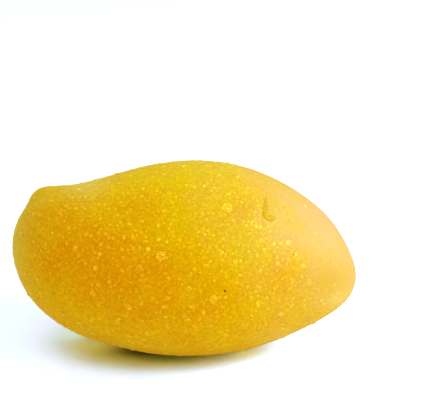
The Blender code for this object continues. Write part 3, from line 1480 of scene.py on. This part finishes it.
# Drops that stand out, each by the pixel that shows it and its width in millimetres
BEADS = (
    Spot(227.5, 207.6, 3.6), Spot(160.6, 255.6, 3.3), Spot(213.3, 299.2, 2.9), Spot(74.7, 248.0, 2.0),
    Spot(100.6, 244.0, 1.6), Spot(139.2, 267.6, 2.0), Spot(92.5, 293.4, 2.0), Spot(128.8, 307.2, 2.4),
    Spot(136.3, 336.4, 1.4), Spot(143.5, 339.4, 1.5), Spot(132.4, 342.6, 1.3), Spot(140.6, 343.2, 1.2),
    Spot(117.2, 322.4, 2.0), Spot(107.2, 330.6, 1.4), Spot(98.4, 284.7, 1.6), Spot(188.6, 288.8, 2.0),
    Spot(192.5, 306.9, 1.8), Spot(167.6, 297.8, 1.4), Spot(163.4, 307.3, 1.8), Spot(152.3, 298.0, 1.4),
    Spot(183.9, 315.9, 1.7), Spot(189.0, 320.5, 1.6), Spot(199.6, 319.4, 1.4), Spot(210.9, 326.3, 1.3),
    Spot(217.2, 316.5, 1.3), Spot(303.4, 265.9, 1.8), Spot(256.2, 226.5, 1.5), Spot(260.0, 226.6, 1.5),
    Spot(274.2, 243.5, 1.5), Spot(288.3, 242.6, 2.2), Spot(296.0, 254.4, 1.4), Spot(281.5, 314.0, 1.7),
    Spot(305.0, 322.5, 1.4), Spot(226.0, 335.0, 1.7), Spot(235.4, 261.5, 1.6), Spot(260.4, 271.3, 1.4),
    Spot(233.4, 220.2, 1.4), Spot(241.4, 202.4, 1.3), Spot(228.8, 193.8, 1.3), Spot(66.0, 206.0, 1.4),
    Spot(93.0, 197.4, 1.3), Spot(124.3, 236.7, 1.5), Spot(132.3, 236.7, 1.4), Spot(121.6, 249.2, 1.4),
    Spot(132.8, 248.3, 1.4), Spot(147.5, 249.2, 1.7), Spot(95.7, 268.0, 2.0), Spot(144.4, 280.9, 1.5),
    Spot(157.9, 225.2, 1.3), Spot(158.6, 239.4, 1.6),
)
SPECKS = (Spot(225.0, 291.0, 0.7), Spot(293.4, 254.6, 0.4))

# Light under small drops, which gather it best, and under the run, which hardly gathers any
SMALL_DROP_LIGHT = (1.19, 1.25, 1.34, 1.0)
RUN_LIGHT = (0.95, 0.95, 0.95, 1.0)


def main() -> None:
    """Build the mango and its studio."""
    logging.basicConfig(level=logging.INFO, format="%(message)s")
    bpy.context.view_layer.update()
    camera = StudioCamera()
    camera.build()
    studio = Studio()
    studio.build()
    skin = FruitSkin().build(MangoSkinFinish().build())
    StalkStub().build(
        skin,
        DryStalkFinish().build("dried_stalk_bark"),
        DryStalkFinish(dark="#281a0d", pale="#6c5030").build("broken_stalk_wood"),
    )
    mist = WaterFinish(body="#fff3b4", clearness=0.96, roughness=0.12).build("water_mist")
    small = WaterFinish(body="#fff6d0", gathered_light=SMALL_DROP_LIGHT, roughness=0.1).build(
        "small_drop_water",
    )
    water = WaterFinish(body="#f4f0e0", shine="#fff0a8", roughness=0.06).build("clear_water")
    # A milky rim on the larger drops: a painted highlight for the light their edges reflect and gather
    foot = WaterFinish(body="#fffae0", clearness=0.95, roughness=0.06).build("water_rim_with_painted_highlight")
    run_water = WaterFinish(body="#fce85c", gathered_light=RUN_LIGHT).build("sliding_water")
    # Darker finish of the run's outer side: painted shade
    run_shaded_edge = WaterFinish(body="#d8b840", gathered_light=RUN_LIGHT).build("water_edge_with_painted_shade")
    scab = DryStalkFinish(dark="#6e3a12", pale="#a8702a").build("skin_scab")
    ScatteredDroplets("water_mist", flatness=0.3, pitch=1.35, dry_share=0.2).build(skin, mist)
    ScatteredDroplets(
        "water_droplets", flatness=0.28, segments=8, pitch=1.45, least_width=0.6, greatest_width=1.7,
        rarity=2.8, seed=3, patchiness=0.4, dry_share=0.15,
    ).build(skin, small)
    drops = ScatteredDroplets(
        "water_drops", flatness=0.4, segments=10, rings=5, foot_height=0.5, pitch=6.0, least_width=1.4,
        greatest_width=1.9, seed=7,
    ).build(skin, water, foot)
    beads = PlacedDroplets("water_beads", segments=24, rings=12, foot_height=0.7, spots=BEADS)
    large_drops = [
        drops, beads.build(skin, camera, water, foot), WaterRun().build(skin, camera, run_water, run_shaded_edge),
    ]
    studio.light_water(large_drops)
    specks = PlacedDroplets("skin_specks", flatness=0.25, segments=12, rings=6, spots=SPECKS)
    specks.build(skin, camera, scab)


if __name__ == "__main__":
    main()
